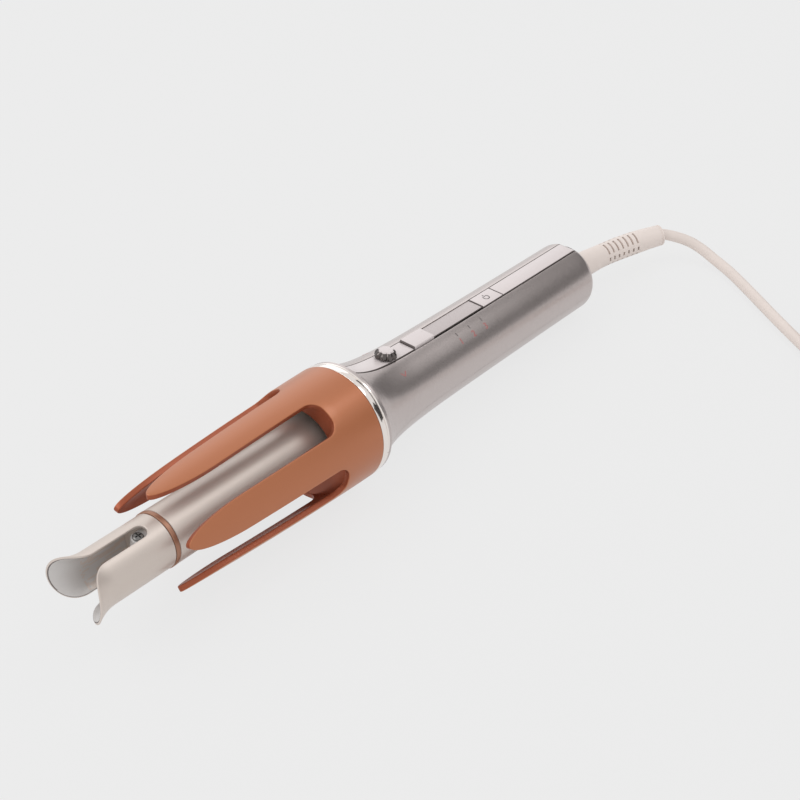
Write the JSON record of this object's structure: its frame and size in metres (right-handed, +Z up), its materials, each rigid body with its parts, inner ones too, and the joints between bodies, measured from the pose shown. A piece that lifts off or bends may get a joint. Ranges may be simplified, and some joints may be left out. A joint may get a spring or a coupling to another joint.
{
  "type": "automatic hair curler",
  "caption": "Handheld hair curler with a motor-turned heated barrel inside a pronged guard, a split tip, a control strip with knob and buttons on a flared handle, and a swivel cord.",
  "frame": {"origin": "centre of the underside of the bounding box of the curler without its free cord, on the table it lies on", "axes": "+X from the split tip along the handle towards the cord, +Z up from the table, the control strip on top"},
  "size_m": [0.4864, 0.3031, 0.0632],
  "materials": {
    "copper_paint": "satin copper-coloured paint",
    "champagne_metal": "satin champagne paint",
    "chrome": "polished",
    "pearl_gloss": "pearl gloss",
    "display_pearl": "finely textured pearl",
    "brown_bronze": "satin brown bronze",
    "black_plastic": "fine matte",
    "cream_rubber": "smooth matte",
    "plain_aluminium": "as machined",
    "steel": "plain",
    "brass": "plain",
    "white_ceramic": "matte",
    "bearing_plastic": "smooth",
    "board_green": "lacquered board",
    "carbon": "pressed carbon"
  },
  "bodies": {
    "root": {"bearing_frame": "black_plastic", "brush_block": "black_plastic", "carbon_brush_1": "carbon", "carbon_brush_2": "carbon", "control_board": "board_green", "control_carrier": "black_plastic", "direction_switch": "black_plastic", "display_panel": "display_pearl", "front_bush": "bearing_plastic", "front_fascia": "pearl_gloss", "guard_cage": "copper_paint", "guard_screw_1": "steel", "guard_screw_2": "steel", "guard_screw_3": "steel", "guard_screw_4": "steel", "guard_screw_5": "steel", "handle_lower_shell": "champagne_metal", "handle_upper_shell": "champagne_metal", "indicator_led_1": "white_ceramic", "indicator_led_2": "white_ceramic", "indicator_led_3": "white_ceramic", "main_capacitor": "plain_aluminium", "motor_can": "steel", "motor_gearbox": "brass", "motor_plate": "steel", "motor_screw_1": "steel", "motor_screw_2": "steel", "power_module": "black_plastic", "power_switch": "black_plastic", "rear_bush": "brass", "rear_fascia": "pearl_gloss", "start_switch": "black_plastic", "swivel_retainer": "black_plastic", "swivel_socket": "black_plastic", "trim_ring": "chrome"},
    "barrel_assembly": {"barrel_tube": "champagne_metal", "tip_ring": "brown_bronze", "tip_fork": "champagne_metal", "tip_screw": "steel", "heater_upper_block": "plain_aluminium", "heater_lower_block": "plain_aluminium", "heater_plate": "white_ceramic", "thermal_fuse": "white_ceramic", "barrel_hub": "black_plastic", "drive_gear": "bearing_plastic", "slip_ring_1": "brass", "slip_ring_2": "brass"},
    "pinion_assembly": {"motor_pinion": "brass"},
    "start_key": {"start_button": "pearl_gloss"},
    "power_key": {"power_button": "pearl_gloss"},
    "direction_selector": {"direction_knob": "pearl_gloss"},
    "cord_assembly": {"strain_relief": "cream_rubber", "power_cord": "cream_rubber", "cord_coil": "cream_rubber", "cord_tail": "cream_rubber", "cord_tie": "black_plastic", "plug_body": "cream_rubber", "plug_pin_1": "brass", "plug_pin_2": "brass"}
  },
  "joints": [
    {"name": "barrel_spin", "type": "hinge", "parent": "root", "child": "barrel_assembly", "pos_m": [-0.13225, 0, 0.03744], "axis": [0.9983, 0, -0.0588], "continuous": true},
    {"name": "pinion_spin", "type": "hinge", "parent": "root", "child": "pinion_assembly", "pos_m": [-0.00391, 0, 0.01906], "axis": [0.9983, 0, -0.0588], "continuous": true},
    {"name": "start_press", "type": "slide", "parent": "root", "child": "start_key", "axis": [-0.0588, 0, -0.9983], "range_m": [0, 0.0008], "stiffness_N_per_m": 600},
    {"name": "power_press", "type": "slide", "parent": "root", "child": "power_key", "axis": [-0.0588, 0, -0.9983], "range_m": [0, 0.0005], "stiffness_N_per_m": 600},
    {"name": "direction_turn", "type": "hinge", "parent": "root", "child": "direction_selector", "pos_m": [0.02422, 0, 0.04927], "axis": [0.1482, 0, 0.989], "range_deg": [-22, 22], "stiffness_Nm_per_rad": 0.02},
    {"name": "cord_swivel", "type": "hinge", "parent": "root", "child": "cord_assembly", "pos_m": [0.1822, 0, 0.01892], "axis": [0.9983, 0, -0.0588], "continuous": true}
  ],
  "couplings": [
    {"joint": "pinion_spin", "follows": "barrel_spin", "ratio": -2}
  ]
}
